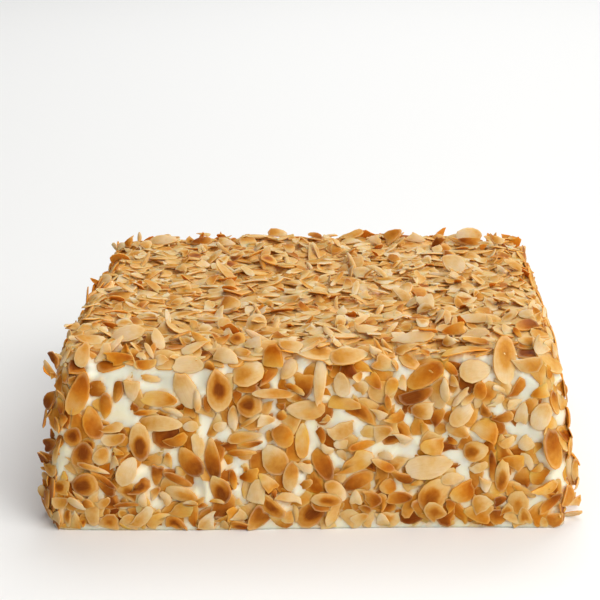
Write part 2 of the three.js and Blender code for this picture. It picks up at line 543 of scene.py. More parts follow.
def makeShape(name, outline, thickness, bend):
    outline = outline - areaMiddle(outline)
    reach = np.abs(outline).max(axis=0)
    middle = np.zeros((1, 2))
    bends = np.array([warp["along"], warp["across"], warp["twist"]]) * rng.uniform(-1, 1, 3) * bend

    def lift(spots):
        x, y = spots[:, 0] / reach[0], spots[:, 1] / reach[1]
        return bends[0] * x * x + bends[1] * y * y + bends[2] * x * y

    points, spots = [], []
    for size, level, rimward in profile.values():
        ring = outline * size if size else middle
        points.append(np.column_stack([ring, lift(ring) + level * thickness]))
        spots.append(np.column_stack([ring / reach, np.full(len(ring), rimward)]))
    points, spots = np.concatenate(points), np.concatenate(spots)
    mesh, triangles = flakeMesh(name, points, spots, len(outline))

    # feelers under the flake, and every three of them that can hold it up
    feelers = np.concatenate([outline * feelRings["rim"], outline[::2] * feelRings["inner"], middle])
    flat = np.column_stack([feelers, np.ones(len(feelers))])
    triples = np.array([(i, j, k) for i in range(len(feelers)) for j in range(i) for k in range(j)])
    corners = flat[triples]
    wide = np.abs(np.linalg.det(corners)) > sound["spread"] * reach[0] * reach[1]
    triples, corners = triples[wide], corners[wide]
    solve = np.linalg.inv(corners)
    shares = solve[:, 2, :]                               # weights of the corners at the middle
    holds = (shares > sound["slack"]).all(axis=1)
    within = np.concatenate([outline * share for share in feelRings["within"]] + [middle])
    return dict(name=name, mesh=mesh, points=points, triangles=triangles, feelers=feelers, flat=flat,
                under=lift(feelers), triples=triples[holds], solve=solve[holds], reach=reach.max(),
                within=within, underWithin=lift(within), thickness=thickness, size=np.ptp(outline, axis=0))


def cutShapes(label, cut, snapped=False):
    shapes = []
    for i in range(cut["count"]):
        length = rng.uniform(*cut["length"])
        outline = almondOutline(length, rng.uniform(*cut["breadth"]), cut["sides"])
        if snapped:
            outline = breakOff(outline, length)
        shapes.append(makeShape(f"{label}_{i:02d}", outline, rng.uniform(*cut["thickness"]), cut["bend"]))
    return shapes


wholeShapes = cutShapes("long", wholeCut) + cutShapes("round", roundCut)  # labels in order of the alphabet
brokenShapes = cutShapes("broken", brokenCut, snapped=True)
sliverShapes = cutShapes("sliver", sliverCut)
shapesOf = dict(whole_flakes=wholeShapes, broken_flakes=brokenShapes, almond_chips=brokenShapes,
                almond_slivers=sliverShapes)
print("almonds cut:", len(wholeShapes) + len(brokenShapes) + len(sliverShapes), "shapes")


# the coat: flakes dropped and pressed on in rounds, each at rest on the cream and on those before it

coatPlan = dict(
    feelFrom=30 * mm,          # how far out the feelers start
    deep=40 * mm,              # taken as the height where nothing is felt
    nothing=-1.0,              # and as the height of the coat where there is none
    bareBelow=-3 * mm,         # no flake lies where less than this is felt
    overlap=0.25 * mm,         # flakes settle this far into each other
    play=0.03 * mm,            # and this far into what holds them up
    poke=0.45,                 # share of a flake's thickness that may poke into it from below
    steepest=(0.75, 0.3),      # slope past which a flake would slide off, on the sides and on top
    proud=1.4 * mm,            # most a flake may pass the solid's box
    overhang=(9 * mm, 4 * mm),  # most it may stand out from the leaning sides, at the base and the top edge
    scales=(0.9, 1.12),
    press=(0.2 * mm, 0.9 * mm),
    tuck=0.05,                 # how much further one end is pressed in
    leanAngles=(0.25, 0.6),
    leanSink=0.3,              # share of a leaning flake's rise that is pushed in
    forwards=0.4,              # share of the leaning flakes on top that lean to the front
    leastLean=(0, 0.4),        # least browning towards one end, scattered and as seen
    frontToast=(               # flakes under the front's: places from left to right, and how much browner
        (-100 * mm, -20 * mm, 100 * mm),
        (0.03, -0.07, -0.09),
    ),
)
facing = dict(top=0.55, flat=0.85, front=-0.3, left=-0.7, level=0.2)      # limits of the way out of the cream
floorReach = 400 * mm
floor = [(-floorReach, -floorReach, 0), (floorReach, -floorReach, 0),
         (floorReach, floorReach, 0), (-floorReach, floorReach, 0)]
creamTree = BVHTree.FromPolygons(creamPlace.tolist() + floor,
                                 creamQuads.tolist() + [tuple(len(creamPlace) + i for i in range(4))])
coat = dict(points=[], triangles=[], tree=None, known=0, newTree=None)
laid = {}                      # kind of piece: its flakes


def flakeTree(first):
    # the flakes from number first on, as something that can be felt
    points, triangles = coat["points"][first:], coat["triangles"][first:]
    if not points:
        return None
    starts = np.cumsum([0] + [len(p) for p in points[:-1]])
    corners = np.concatenate([t + start for t, start in zip(triangles, starts)])
    return BVHTree.FromPolygons(np.concatenate(points).tolist(), corners.tolist())


def growTree():
    coat["tree"], coat["newTree"], coat["known"] = flakeTree(0), None, len(coat["points"])


def growNewTree():
    coat["newTree"] = flakeTree(coat["known"])


def feel(tree, start, way, fallback):
    hit = tree.ray_cast(start, way, 2 * coatPlan["deep"]) if tree else (None, None, None, None)
    return fallback if hit[0] is None else coatPlan["feelFrom"] - hit[3]


def restOn(shape, scale, place, out, spin, press, tuck, lean, asSeen):
    # the lowest way the flake can lie at a place: height at its middle and slopes along and across it
    side = out.cross(Vector((0, 0, 1)))
    side = side.normalized() if side.length > facing["level"] else Vector((1, 0, 0))
    up = out.cross(side)
    along = side * math.cos(spin) + up * math.sin(spin)
    across = out.cross(along)
    start = place + out * coatPlan["feelFrom"]

    def heightsAt(spots, under):
        found = np.empty(len(spots))
        for i, (x, y) in enumerate((spots * scale[:2]).tolist()):
            point = start + along * x + across * y
            soft = press + tuck[0] * x + tuck[1] * y
            onCream = feel(creamTree, point, -out, -coatPlan["deep"]) - soft
            onFlake = max(feel(coat[tree], point, -out, -coatPlan["deep"]) for tree in ("tree", "newTree"))
            found[i] = max(onCream, onFlake - coatPlan["overlap"])
        return found - under * scale[2]

    heights = heightsAt(shape["feelers"], shape["under"])
    planes = np.einsum("tij,tj->ti", shape["solve"], heights[shape["triples"]])
    clear = (planes @ shape["flat"].T - heights).min(axis=1)
    fits = clear > -coatPlan["play"]
    if not fits.any():
        fits = clear >= clear.max()
    best = np.flatnonzero(fits)[planes[fits, 2].argmin()]
    slope, height = planes[best, :2] / scale[:2], planes[best, 2]
    steep = np.hypot(*slope) / coatPlan["steepest"][int(out.z > facing["flat"])]
    if not lean and not asSeen:
        return along, across, slope, height, steep < 1
    if lean:                                # caught on edge between others, its low edge pushed in
        angle, away = lean
        slope = slope + math.tan(angle) * np.array([away.dot(along), away.dot(across)])
        sink = coatPlan["leanSink"] * shape["reach"] * scale[0] * math.sin(angle)
        height = (heights - shape["feelers"] * scale[:2] @ slope).max() - sink
    elif steep > 1:
        slope = slope / steep
        height = (heights - shape["feelers"] * scale[:2] @ slope).max()
    if asSeen:                              # nothing pokes through its face
        spots = shape["within"]
        through = (heightsAt(spots, shape["underWithin"]) - spots * scale[:2] @ slope).max()
        height = max(height, through - coatPlan["poke"] * shape["thickness"])
    return along, across, slope, height, True


def sticksOut(points, asSeen):
    # whether a flake passes the solid's box or stands too far out from the side under it
    b = creamBlock
    low, high = points.min(axis=0), points.max(axis=0)
    past = max((np.array(cadBox[0]) - low)[:2].max(), (high - np.array(cadBox[1])).max())
    side = b["topSide"] / 2 + b["flare"] * (1 - points[:, 2] / b["height"])
    atBase, atTop = coatPlan["overhang"]
    allowed = atBase if asSeen else np.interp(points[:, 2], (0, b["height"]), (atBase, atTop))
    beyond = (np.abs(points[:, :2]).max(axis=1) - side - allowed).max()
    return past > coatPlan["proud"] or beyond > 0


def layFlake(kind, place, out, press, toast, heart, moist, spin=None, scale=None, tuck=(0, 0), lean=None,
             pick=None, asSeen=False):
    shapes = shapesOf[kind]
    number = int(rng.integers(len(shapes))) if pick is None else pick
    shape = shapes[number]
    spin = rng.uniform(0, 2 * math.pi) if spin is None else spin
    scale = np.broadcast_to(rng.uniform(*coatPlan["scales"]) if scale is None else scale, 3)
    along, across, slope, height, holds = restOn(shape, scale, place, out, spin, press, tuck, lean, asSeen)
    if not holds:
        return False
    top = (out - along * slope[0] - across * slope[1]).normalized()
    ahead = (along + out * slope[0]).normalized()
    turn = Matrix((ahead, top.cross(ahead), top)).transposed()
    middle = place + out * height
    points = shape["points"] * scale @ np.array(turn).T + np.array(middle)
    lowest = points[:, 2].min()
    if lowest < 0:                          # stands on the table, not in it
        middle.z -= lowest
        points[:, 2] -= lowest
    if sticksOut(points, asSeen):
        return False
    coat["points"].append(points)
    coat["triangles"].append(shape["triangles"])
    toastLean = rng.choice((-1, 1)) * rng.uniform(coatPlan["leastLean"][asSeen], 1)
    flake = dict(shape=number, place=tuple(middle), turn=tuple(turn.to_quaternion()), scale=tuple(scale),
                 toast=toast, toastLean=toastLean, heart=heart, moist=moist,
                 points=points, out=out, asSeen=asSeen)
    laid.setdefault(kind, []).append(flake)
    return True


creamTriangles = np.concatenate([creamQuads[:, :3], creamQuads[:, [0, 2, 3]]])
creamCorners = creamPlace[creamTriangles]
creamAreas = np.linalg.norm(np.cross(creamCorners[:, 1] - creamCorners[:, 0],
                                     creamCorners[:, 2] - creamCorners[:, 0]), axis=1)
creamAreas /= creamAreas.sum()


def spreadSpots(count, apart, wanted):
    # places over the cream, none closer than apart, kept by chance as wanted says
    chosen = rng.choice(len(creamTriangles), count, p=creamAreas)
    shares = rng.dirichlet((1, 1, 1), count)
    places = np.einsum("ni,nij->nj", shares, creamPlace[creamTriangles[chosen]])
    outs = np.einsum("ni,nij->nj", shares, creamOut[creamTriangles[chosen]])
    outs /= np.linalg.norm(outs, axis=1, keepdims=True)
    keep = rng.random(count) < wanted(places, outs)
    kept = np.empty((0, 3))
    spots = []
    for place, out in zip(places[keep], outs[keep]):
        if len(kept) and (np.linalg.norm(kept - place, axis=1) < apart).any():
            continue
        kept = np.vstack([kept, place])
        spots.append((Vector(place), Vector(out)))
    return spots


def onTop(places, outs):
    overFront = (outs[:, 1] < facing["front"]) & (outs[:, 2] < facing["flat"])
    return np.where((outs[:, 2] > facing["top"]) & ~overFront, 1.0, 0.0)


def onSides(places, outs):
    # right, back and left
    return np.where((outs[:, 2] > facing["top"]) | (outs[:, 1] < facing["front"]), 0.0, 1.0)


openCream = (                   # open cream on the front: middle and size in pixels of the picture
    ((150, 374), (112, 9)),
    ((120, 412), (18, 22)),
    ((66, 430), (4, 6)),
    ((66, 459), (4, 20)),
    ((155, 437), (10, 9)),
    ((150, 480), (10, 12)),
    ((205, 468), (9, 76)),
    ((280, 382), (16, 9)),
    ((332, 402), (6, 4)),
    ((340, 413), (10, 3)),
    ((312, 441), (7, 38)),
    ((410, 366), (27, 12)),
    ((397, 386), (6, 10)),
    ((395, 402), (8, 8)),
    ((385, 445), (8, 4)),
    ((405, 450), (10, 4)),
    ((463, 465), (6, 20)),
    ((483, 377), (8, 10)),
    ((520, 373), (8, 12)),
    ((549, 410), (4, 18)),
    ((517, 428), (8, 4)),
    ((557, 473), (4, 6)),
    ((535, 505), (4, 4)),
    ((565, 495), (3, 12)),
)
flakeReach = 8                  # pixels kept clear round each, so that the flakes about it stay off it


def onFront(places, outs):
    right, up, ahead = (np.array(axis) for axis in cameraAxes())
    seenFrom = places - np.array(shot["place"])
    half = shot["framePixels"] / 2
    depth = seenFrom @ ahead / shot["lensPixels"]
    x = half + seenFrom @ right / depth
    y = half - seenFrom @ up / depth
    bare = np.zeros(len(places), bool)
    for (middleX, middleY), size in openCream:
        wide, tall = (side / 2 + flakeReach for side in size)
        bare |= np.hypot((x - middleX) / wide, (y - middleY) / tall) < 1
    return np.where((outs[:, 2] < facing["top"]) & (outs[:, 1] < facing["front"]) & ~bare, 1.0, 0.0)


def frontBelow(height):
    def share(places, outs):
        return onFront(places, outs) * (places[:, 2] < height)
    return share


def coatHeight(place, out):
    # how far the coat stands out over a place, or far below it where no flake lies
    return feel(coat["tree"], place + out * coatPlan["feelFrom"], -out, coatPlan["nothing"])


def stillBare(wanted):
    # the same places, but only where no flake lies yet
    def share(places, outs):
        wish = wanted(places, outs)
        for i in np.flatnonzero(wish > 0):
            if coatHeight(Vector(places[i]), Vector(outs[i])) > coatPlan["bareBelow"]:
                wish[i] = 0
        return wish
    return share


chances = dict(
    top=dict(toast=(2.0, 3.6), share=0.75, heart=0.4, moist=0.35),
    sides=dict(toast=(2.2, 3.0), share=1.0, heart=0.55, moist=1.0),
    leftShadeToast=0.15,             # painted shade: the left side, which the lamps leave in shade, is made browner
    toastLimits=(0.02, 0.95),
    heartChance=0.25,
    heartLeast=0.15,
    faintHeart=0.12,
    moist=(1.2, 1.6),
)


def looks(out):
    # how well browned a flake is, how dark its heart is, and how much butter it has soaked up
    c = chances
    top, left = out.z > facing["top"], out.x < facing["left"]
    face = c["top"] if top else c["sides"]
    toast = rng.beta(*face["toast"]) * face["share"]
    # painted shade: flakes on the left side are made browner
    if left and not top:
        toast += c["leftShadeToast"]
    if rng.random() < c["heartChance"]:
        heart = rng.uniform(c["heartLeast"], face["heart"])
    else:
        heart = rng.uniform(0, c["faintHeart"])
    moist = rng.beta(*c["moist"]) * face["moist"]
    return dict(toast=float(np.clip(toast, *c["toastLimits"])), heart=heart, moist=moist)


def anyWay(out):
    way = Vector(rng.normal(size=3))
    return (way - out * way.dot(out)).normalized()


backwards = Vector((0, 1, 0))       # a flake that leans to the front rises this way


def layRound(kind, wanted, apart, press=coatPlan["press"], leaning=0.0, scales=coatPlan["scales"], tries=3000,
             underFront=False):
    done = 0
    for place, out in spreadSpots(tries, apart, wanted):
        lean = (rng.uniform(*coatPlan["leanAngles"]), anyWay(out)) if rng.random() < leaning else None
        if lean and out.z > facing["flat"] and rng.random() < coatPlan["forwards"]:
            lean = (lean[0], backwards)
        look = looks(out)
        if underFront:
            browner = np.interp(place.x, *coatPlan["frontToast"])
            look["toast"] = float(np.clip(look["toast"] + browner, *chances["toastLimits"]))
        done += layFlake(kind, place, out, scale=rng.uniform(*scales), press=rng.uniform(*press),
                         tuck=rng.normal(0, coatPlan["tuck"], 2), lean=lean, **look)
    growTree()
    return done


foot = dict(
    perSide=24,
    rounds=3,
    height=(1 * mm, 8 * mm),
    upturn=(15, 55),            # degrees the flakes face upwards
    press=0.4 * mm,
    brokenShare=0.5,
)


def layFoot():
    # flakes that slid down lean out around the base of the right side, the back and the left side
    done = 0
    half = creamBlock["topSide"] / 2
    for turn in range(foot["rounds"]):
        for side in range(1, 4):
            quarter = Matrix.Rotation(side * math.pi / 2, 3, "Z")
            for i in range(turn, foot["perSide"], foot["rounds"]):
                across = (2 * (i + rng.uniform(0, 1)) / foot["perSide"] - 1) * half
                plain = quarter @ Vector((across, -half, rng.uniform(*foot["height"])))
                place, out = blockSurface(np.array([plain]))
                rise = math.radians(rng.uniform(*foot["upturn"]))
                out = Vector(out[0]) * math.cos(rise) + Vector((0, 0, math.sin(rise)))
                kind = "broken_flakes" if rng.random() < foot["brokenShare"] else "whole_flakes"
                done += layFlake(kind, Vector(place[0]), out, press=foot["press"], **looks(out))
        growTree()
    return done


# the front, flake by flake, the lower ones first: how each is cut, its look, the pixel of the picture
# that it is seen at, its length and width in mm, and its turn in degrees

browned = dict(             # toast, heart, moist
    pale=(0.10, 0.02, 0.32),
    tan=(0.36, 0.08, 0.24),
    gold=(0.26, 0.02, 0.95),
    amber=(0.54, 0.06, 0.95),
    brown=(0.69, 0.06, 0.60),
    dark=(0.95, 0.10, 0.25),
    tanHeart=(0.45, 0.58, 0.35),
    goldHeart=(0.34, 0.46, 0.75),
    brownHeart=(0.66, 0.36, 0.45),
    softHeart=(0.24, 0.28, 0.55),
)


def seen(cut, look, at, size, turn=0):
    return dict(cut=cut, look=look, at=at, size=size, turn=turn)


whole, disc, broken, sliver = (partial(seen, cut) for cut in ("whole", "round", "broken", "sliver"))

frontFlakes = (
    # left third, underneath
    broken("tan", (113, 439), (11, 5.5)),
    broken("amber", (64, 420), (6, 4), 70),
    broken("amber", (189, 411), (6.5, 6), 90),
    broken("brown", (237, 397), (8.5, 5), 75),
    broken("brown", (248, 388), (10, 4), 5),
    broken("brown", (134, 408), (4.5, 4), 60),
    sliver("amber", (146, 412), (11, 2.6), 5),
    broken("amber", (177, 440), (11, 7), -5),
    broken("gold", (168, 460), (7, 4.6), 80),
    sliver("brown", (206, 403), (9, 3.4), 100),
    broken("brown", (217, 450), (11, 7), 95),
    broken("gold", (118, 452), (6, 3), -15),
    broken("brown", (88, 503), (6, 4.4)),
    sliver("brown", (127, 504), (12, 2.2), 3),
    sliver("amber", (233, 479), (9, 3.6), 100),
    # past the left corner; their dark and brown looks are partly their toast and partly painted shade of this
    # side
    broken("brown", (61, 384), (8.5, 5), 80),
    broken("tan", (63, 396), (6, 5), 60),
    broken("amber", (62, 406), (7.5, 5), 85),
    broken("dark", (56, 413), (8, 5), 95),
    broken("amber", (60, 425), (7, 5), 100),
    broken("brown", (55, 482), (7.5, 5), 75),
    broken("brown", (53, 494), (7, 5), 60),
    broken("dark", (54, 359), (8, 6), 5),
    sliver("tan", (48, 369), (10, 3), -50),
    broken("brown", (58, 373), (7.5, 4.5), -50),
    whole("tan", (66, 375), (8, 3.5), -70),
    whole("dark", (54, 401), (9, 6), 90),
    broken("brown", (54, 420), (9, 4), 95),
    broken("dark", (51, 436), (7, 5), 80),
    broken("dark", (40, 443), (10, 6), 40),
    sliver("brown", (38, 455), (12, 3.4), 5),
    broken("dark", (46, 458), (8, 5), 70),
    sliver("brown", (47, 470), (12, 3), 3),
    sliver("tan", (44, 477), (11, 3), -5),
    broken("brown", (41, 486), (10, 6), 60),
    # left third, on top
    whole("amber", (79, 394), (20.5, 9), 69),
    whole("amber", (106, 405), (12, 5.5), 88),
    whole("brown", (118, 390), (11, 5), 80),
    broken("pale", (132, 389), (10, 7), 90),
    broken("tan", (113, 428), (11.5, 5.5)),
    whole("amber", (93, 423), (15.5, 8.5), 107),
    whole("gold", (159, 399), (16, 7), -4),
    sliver("gold", (151, 379), (10, 3.4), -12),
    disc("brownHeart", (73, 437), (9, 8.5), 60),
    sliver("tan", (57, 453), (14, 3.4), 75),
    disc("brownHeart", (83, 456), (12.5, 10.5), 80),
    disc("tan", (101, 456), (8.5, 7), 60),
    broken("pale", (115, 462), (6.5, 4.6), 90),
    whole("tan", (159, 423), (20.5, 7), -3),
    whole("tanHeart", (140, 442), (17, 9.2), 95),
    whole("pale", (127, 471), (14, 8.5), 62),
    sliver("tan", (93, 467), (15, 2.6), -18),
    broken("brown", (106, 488), (12.5, 5), -55),
    sliver("brown", (104, 479), (13.5, 3), -34),
    disc("brownHeart", (86, 484), (11.8, 11)),
    broken("brownHeart", (141, 486), (10.5, 7.6)),
    broken("goldHeart", (63, 487), (8, 6.8)),
    disc("tan", (48, 492), (6.8, 5.5), 90),
    broken("tan", (61, 502), (7.6, 5.5)),
    whole("pale", (77, 502), (9.3, 4), -33),
    broken("tan", (104, 502), (6.8, 5.5)),
    broken("pale", (143, 499), (6.8, 4.2), 90),
    whole("pale", (186, 390), (17.4, 9.7), 112),
    whole("tanHeart", (219, 390), (19.5, 11.4), 93),
    disc("softHeart", (248, 373), (14.4, 11.4), 20),
    sliver("pale", (200, 400), (9.3, 3.4), 95),
    disc("tanHeart", (250, 405), (11, 11)),
    whole("pale", (233, 418), (11.4, 4.6), 88),
    broken("pale", (220, 427), (6, 4.6)),
    sliver("tan", (250, 420), (12.3, 2.2), 32),
    broken("pale", (265, 419), (8, 5.5)),
    whole("tan", (244, 437), (15.7, 5.5), 5),
    disc("pale", (191, 426), (6.8, 5)),
    sliver("pale", (173, 411), (9.7, 3), -20),
    broken("pale", (198, 446), (12.7, 6.8), 85),
    whole("brown", (191, 462), (15.3, 9.3), -52),
    broken("brown", (157, 475), (11, 5.5), 85),
    whole("brown", (178, 479), (14.4, 3.8), -28),
    whole("softHeart", (181, 493), (14.8, 6.4), -14),
    broken("tan", (155, 493), (6.4, 4.2), 40),
    broken("pale", (166, 498), (6.8, 6), 80),
    sliver("pale", (192, 500), (7.2, 2), 5),
    whole("brown", (213, 460), (18.6, 7.2), 98),
    whole("brownHeart", (221, 489), (14, 8.9), 110),
    sliver("amber", (241, 453), (12.7, 3.4), -2),
    sliver("amber", (249, 444), (11.4, 3.4), 10),
    broken("amber", (250, 476), (9.7, 6.4), 10),
    broken("pale", (257, 492), (11, 8), 80),
    sliver("gold", (217, 500), (7.6, 2)),
    # middle, underneath
    broken("brown", (304, 384), (11.9, 9.3), 90),
    sliver("amber", (295, 388), (9.3, 3.4), -25),
    broken("brown", (281, 406), (4.6, 3.4)),
    broken("amber", (282, 415), (5, 4.2), 40),
    whole("gold", (307, 409), (17, 8.9)),
    broken("gold", (343, 403), (14.4, 6), -8),
    broken("tan", (326, 419), (5, 4)),
    broken("brown", (321, 434), (8.5, 5), 90),
    broken("brown", (274, 493), (5, 3.4), 60),
    broken("brown", (437, 416), (8.5, 7), 40),
    broken("brown", (402, 476), (12.7, 6), -40),
    broken("amber", (514, 461), (11, 9.3), 30),
    broken("pale", (402, 383), (7, 4.5), 80),
    # middle, on top
    broken("amber", (273, 361), (10, 9.3), 90),
    whole("pale", (289, 369), (10.2, 6.4), 60),
    whole("tan", (274, 392), (18.2, 4.6), -4),
    whole("pale", (320, 379), (21.6, 5.5), 86),
    whole("pale", (342, 384), (11.4, 7.2), 100),
    broken("tan", (361, 387), (7.2, 6.8), 30),
    broken("tan", (357, 376), (5, 3.8), 20),
    broken("amber", (374, 381), (8.5, 6), -50),
    whole("amber", (283, 435), (11.4, 8.9), -60),
    whole("gold", (302, 441), (16.1, 6.4), 90),
    whole("tan", (275, 460), (14.8, 11.4), -60),
    whole("tan", (291, 476), (14, 6.8), 80),
    broken("pale", (305, 467), (9.3, 5.5), -50),
    broken("brown", (306, 484), (6.8, 5)),
    broken("gold", (268, 482), (10.2, 6), -45),
    broken("pale", (289, 497), (11.9, 6)),
    whole("brown", (323, 464), (16.5, 8), -65),
    broken("pale", (327, 449), (6.4, 5), -60),
    broken("pale", (341, 444), (6.4, 4.6)),
    broken("tan", (342, 430), (12.7, 10.2), -10),
    whole("amber", (361, 445), (12.7, 3.8), 12),
    broken("gold", (357, 462), (18.6, 10.6), 10),
    whole("brown", (358, 481), (15.3, 7.2), 25),
    whole("tan", (336, 490), (11.9, 6.8), -45),
    whole("goldHeart", (326, 498), (13.6, 6), -5),
    broken("pale", (356, 497), (6.8, 5.5), 90),
    broken("brown", (372, 497), (8.5, 8)),
    # right of the middle
    broken("tan", (384, 364), (11, 7.6), -20),
    sliver("gold", (395, 364), (6, 2.6), -60),
    whole("gold", (391, 386), (9.3, 5.5), 70),
    sliver("amber", (388, 402), (7.2, 3), 100),
    whole("amber", (425, 375), (17.8, 9.3), 32),
    whole("tan", (439, 393), (14.4, 8.5), 80),
    whole("pale", (445, 389), (10.6, 4.2), 95),
    sliver("amber", (451, 369), (7.6, 3.8), -45),
    broken("tan", (454, 381), (6, 3.8), 100),
    whole("gold", (464, 357), (20.5, 6.8), 8),
    disc("pale", (474, 371), (13.5, 10.5), 5),
    broken("pale", (380, 414), (8, 5)),
    broken("amber", (396, 417), (9.3, 7.2), -20),
    broken("tan", (423, 410), (10.2, 8)),
    broken("dark", (416, 396), (15.3, 6), 15),
    whole("tan", (457, 429), (11, 6.8), -30),
    whole("pale", (461, 414), (12.7, 8), 45),
    sliver("pale", (460, 397), (11, 3), 52),
    sliver("tan", (469, 398), (9.3, 3), 42),
    disc("amber", (480, 390), (8.5, 6), 90),
    broken("tan", (382, 432), (9.3, 7.6), 20),
    broken("pale", (404, 439), (9.3, 7.2)),
    broken("gold", (424, 428), (5.5, 3.8), 60),
    broken("gold", (433, 446), (11, 8)),
    broken("amber", (452, 441), (6, 3.4), -30),
    broken("gold", (486, 429), (12.3, 9.7), -35),
    disc("goldHeart", (475, 451), (11, 9.3), 10),
    whole("pale", (385, 455), (8.5, 4.2), -20),
    whole("amber", (384, 464), (11, 4.2), -25),
    disc("amber", (388, 486), (7.6, 7.2)),
    whole("brown", (399, 497), (11.9, 5.5), 5),
    broken("gold", (417, 482), (6, 3.8)),
    whole("pale", (428, 466), (20.8, 10.8), 8),
    whole("goldHeart", (434, 493), (17, 11.9), 50),
    broken("amber", (450, 503), (6.8, 5.5), 60),
    broken("amber", (463, 491), (11.9, 9.3), 20),
    whole("pale", (452, 478), (10.6, 5.5), 5),
    broken("pale", (479, 467), (8.5, 5.5)),
    broken("pale", (485, 484), (7.6, 5.5), 90),
    broken("tan", (481, 503), (9.3, 8), 30),
    # right end
    broken("tan", (529, 365), (12.7, 10.2), -30),
    broken("pale", (540, 348), (8.9, 8), 20),
    broken("gold", (552, 338), (5.5, 5.5), 90),
    sliver("amber", (549, 372), (6.4, 3.4), 100),
    broken("brown", (518, 388), (10.2, 8), 20),
    sliver("pale", (498, 388), (5.5, 2.6), -20),
    broken("pale", (497, 400), (8, 5), 10),
    broken("pale", (513, 403), (7, 3.5), 15),
    broken("brown", (504, 417), (10.2, 6), -10),
    whole("softHeart", (505, 361), (21, 11), 92),
    broken("pale", (522, 414), (10.2, 6), 80),
    whole("pale", (541, 416), (12.7, 8.9), 70),
    broken("gold", (541, 392), (8.5, 6), 20),
    whole("amber", (553, 403), (11.4, 5.5), 105),
    disc("amber", (566, 388), (8, 6), 90),
    whole("brown", (565, 420), (15, 5.5), 95),
    broken("gold", (507, 442), (7.6, 5.5)),
    sliver("brown", (493, 467), (14.4, 3.8), 95),
    whole("goldHeart", (502, 475), (15.3, 6.4), 86),
    broken("pale", (526, 443), (6.8, 6.8), 45),
    whole("brown", (551, 448), (18.6, 9.7), 96),
    broken("gold", (538, 468), (6, 5)),
    sliver("gold", (524, 491), (11, 3), -25),
    broken("gold", (546, 487), (14.4, 6.4), -8),
    broken("dark", (499, 500), (6.8, 5), 10),
    disc("softHeart", (518, 502), (11, 9.3), 90),
    whole("brown", (550, 503), (13.6, 4.2), 38),
    sliver("gold", (569, 471), (16.1, 3.8), 82),
    whole("pale", (574, 471), (16, 5), 100),
    broken("gold", (576, 439), (10, 7), 50),
    sliver("tan", (581, 471), (13, 4), 95),
    broken("tan", (586, 481), (9, 5)),
    broken("amber", (570, 499), (9, 6), 40),
    sliver("pale", (573, 508), (9, 3), 15),
    sliver("tan", (561, 513), (8.5, 2.6), 10),
    broken("gold", (573, 456), (10, 6), 85),
    broken("pale", (578, 489), (11, 7), 80),
    broken("tan", (577, 501), (8, 5), 60),
    # along the back edge, where they are stuck in
    broken("pale", (105, 259), (7, 6), 10),
    broken("pale", (117, 248), (6, 3.6), 85),
    broken("brown", (130, 247), (7, 6), 20),
    sliver("pale", (140, 242), (6, 2.4), 90),
    whole("pale", (163, 243), (15.5, 6.5), 2),
    whole("brown", (202, 243), (11, 5.5), 3),
    broken("pale", (225, 244), (10, 5), -5),
    broken("tan", (277, 242), (11, 6), 5),
    broken("pale", (296, 241), (6, 4.5), 85),
    broken("pale", (337, 244), (6, 5), 10),
    broken("pale", (375, 244), (8, 5), -5),
    broken("amber", (392, 241), (10.5, 7.5), 10),
    broken("pale", (415, 242), (12, 5.5), -3),
    broken("dark", (438, 244), (9, 5), 5),
    whole("pale", (469, 239), (14, 9.5), 12),
    broken("brown", (470, 245), (12, 5), -10),
    broken("tan", (497, 241), (8, 6.5), 15),
    whole("amber", (512, 243), (9, 4.5), 85),
    broken("tan", (523, 249), (5, 5), 40),
    # further on the top
    broken("dark", (236, 258), (6.5, 6), 70),
    broken("brown", (500, 257), (10, 5), -12),
    disc("goldHeart", (269, 265), (9, 9), 30),
    broken("pale", (203, 264), (8, 9), 5),
    whole("pale", (454, 266), (13.5, 10), -35),
    # over the top edge
    whole("pale", (478, 325), (20, 6), -10),
    broken("brown", (526, 326), (11, 8), 20),
    broken("pale", (547, 327), (7, 6)),
    broken("amber", (455, 331), (10.5, 6), 5),
    broken("pale", (507, 331), (6, 6), -50),
    broken("pale", (317, 333), (6.5, 6)),
    broken("pale", (365, 333), (10.5, 7)),
    broken("pale", (328, 334), (7, 4.5), 110),
    whole("pale", (476, 335), (13, 4.5), -4),
    sliver("amber", (517, 336), (6, 2.6), -55),
    broken("brown", (278, 337), (9, 6), 12),
    whole("pale", (129, 339), (15.5, 8), 12),
    whole("pale", (414, 339), (19, 6), -3),
    whole("tan", (90, 340), (13.6, 8)),
    sliver("pale", (259, 340), (13, 3.6), -20),
    broken("amber", (178, 341), (10, 6)),
    broken("brown", (386, 341), (8, 6), -10),
    broken("pale", (470, 341), (11, 3.6)),
    broken("amber", (222, 342), (6.5, 7), 90),
    disc("goldHeart", (238, 342), (7, 7.5)),
    broken("tan", (526, 342), (7, 4.5)),
    sliver("gold", (203, 344), (15, 4.5), -45),
    broken("pale", (292, 344), (6.5, 6), 30),
    whole("tan", (311, 344), (13.5, 6), 15),
    broken("amber", (151, 345), (7, 7), 40),
    broken("pale", (336, 345), (8.5, 4.5), 88),
    broken("amber", (476, 345), (12, 3.4)),
    broken("amber", (430, 346), (9, 6), 5),
    broken("tan", (449, 346), (6, 6)),
    broken("pale", (254, 347), (8.5, 5), -10),
    sliver("tan", (385, 347), (6, 2.4), -40),
    sliver("pale", (311, 348), (10, 2.2), 24),
    broken("amber", (126, 350), (4, 4)),
    whole("pale", (158, 350), (12, 5.5), -65),
    broken("pale", (193, 350), (13.5, 7), 3),
    sliver("pale", (149, 351), (8, 2.4), -60),
    sliver("pale", (113, 352), (14, 2.6), 28),
    broken("tan", (405, 352), (11, 6), -20),
    broken("pale", (375, 352), (6, 5), -55),
    sliver("pale", (554, 352), (7, 2.6), 85),
    broken("tan", (217, 353), (9, 5)),
    whole("gold", (242, 353), (8, 4.5), -20),
    broken("pale", (104, 354), (10, 6), 30),
    broken("pale", (430, 354), (7, 3.4), -35),
